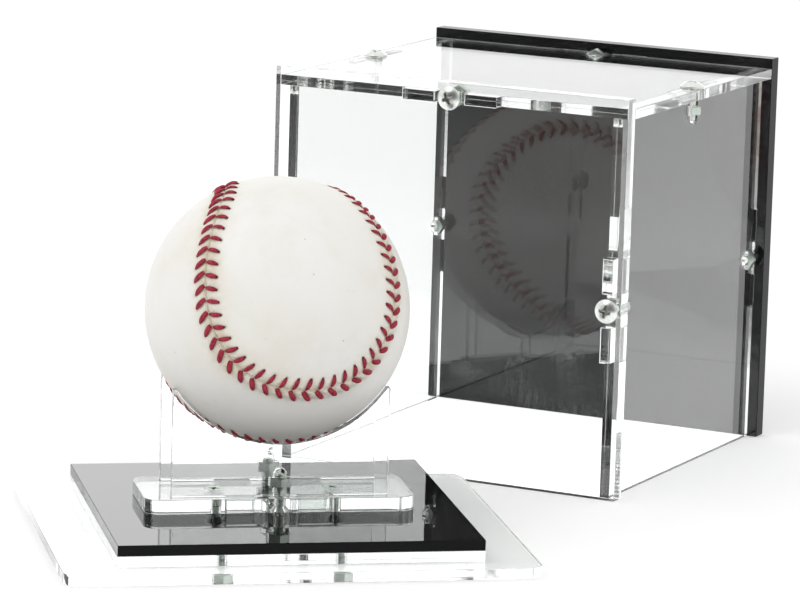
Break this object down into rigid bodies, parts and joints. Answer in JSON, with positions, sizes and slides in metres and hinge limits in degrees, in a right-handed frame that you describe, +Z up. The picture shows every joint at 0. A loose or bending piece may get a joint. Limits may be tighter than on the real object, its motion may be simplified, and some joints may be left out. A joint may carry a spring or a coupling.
{
  "type": "baseball display case",
  "caption": "Clear display case for a baseball: rimmed base with black plinth and notched cradle, ball, and bolted box cover with black back standing beside it.",
  "frame": {"origin": "middle of the underside of the base flange", "axes": "+X to the right along the base's front edge, +Y from the front to the back, +Z up"},
  "size_m": [0.2374, 0.2461, 0.1165],
  "materials": {
    "clear_acrylic": "polished clear sheet",
    "black_acrylic": "polished black sheet",
    "zinc_steel": "zinc plated",
    "ball_leather": "smooth white leather",
    "yarn": "wound wool yarn",
    "core_rubber": "moulded core"
  },
  "bodies": {
    "base": {"flange_plate": "clear_acrylic", "plinth_clear_plate": "clear_acrylic", "plinth_black_plate": "black_acrylic", "stand_plate": "clear_acrylic", "cradle_front_plate": "clear_acrylic", "cradle_rear_plate": "clear_acrylic", "cradle_bolts": "zinc_steel", "cradle_nuts": "zinc_steel", "base_screws": "zinc_steel", "base_nuts": "zinc_steel"},
    "ball": {"ball_cover_a": "ball_leather", "ball_cover_b": "ball_leather", "ball_winding": "yarn", "ball_core": "core_rubber"},
    "cover": {"cover_front_panel": "clear_acrylic", "cover_back_panel": "black_acrylic", "cover_left_panel": "clear_acrylic", "cover_right_panel": "clear_acrylic", "cover_top_panel": "clear_acrylic", "front_joint_bolts": "zinc_steel", "front_joint_nuts": "zinc_steel", "back_joint_bolts": "zinc_steel", "back_joint_nuts": "zinc_steel", "top_joint_bolts": "zinc_steel", "top_joint_nuts": "zinc_steel"}
  },
  "joints": [
    {"name": "cover_lift", "type": "slide", "parent": "base", "child": "cover", "axis": [0, 0, 1], "range_m": [0, 0.12]},
    {"name": "ball_lift", "type": "slide", "parent": "base", "child": "ball", "axis": [0, 0, 1], "range_m": [0, 0.1]}
  ]
}
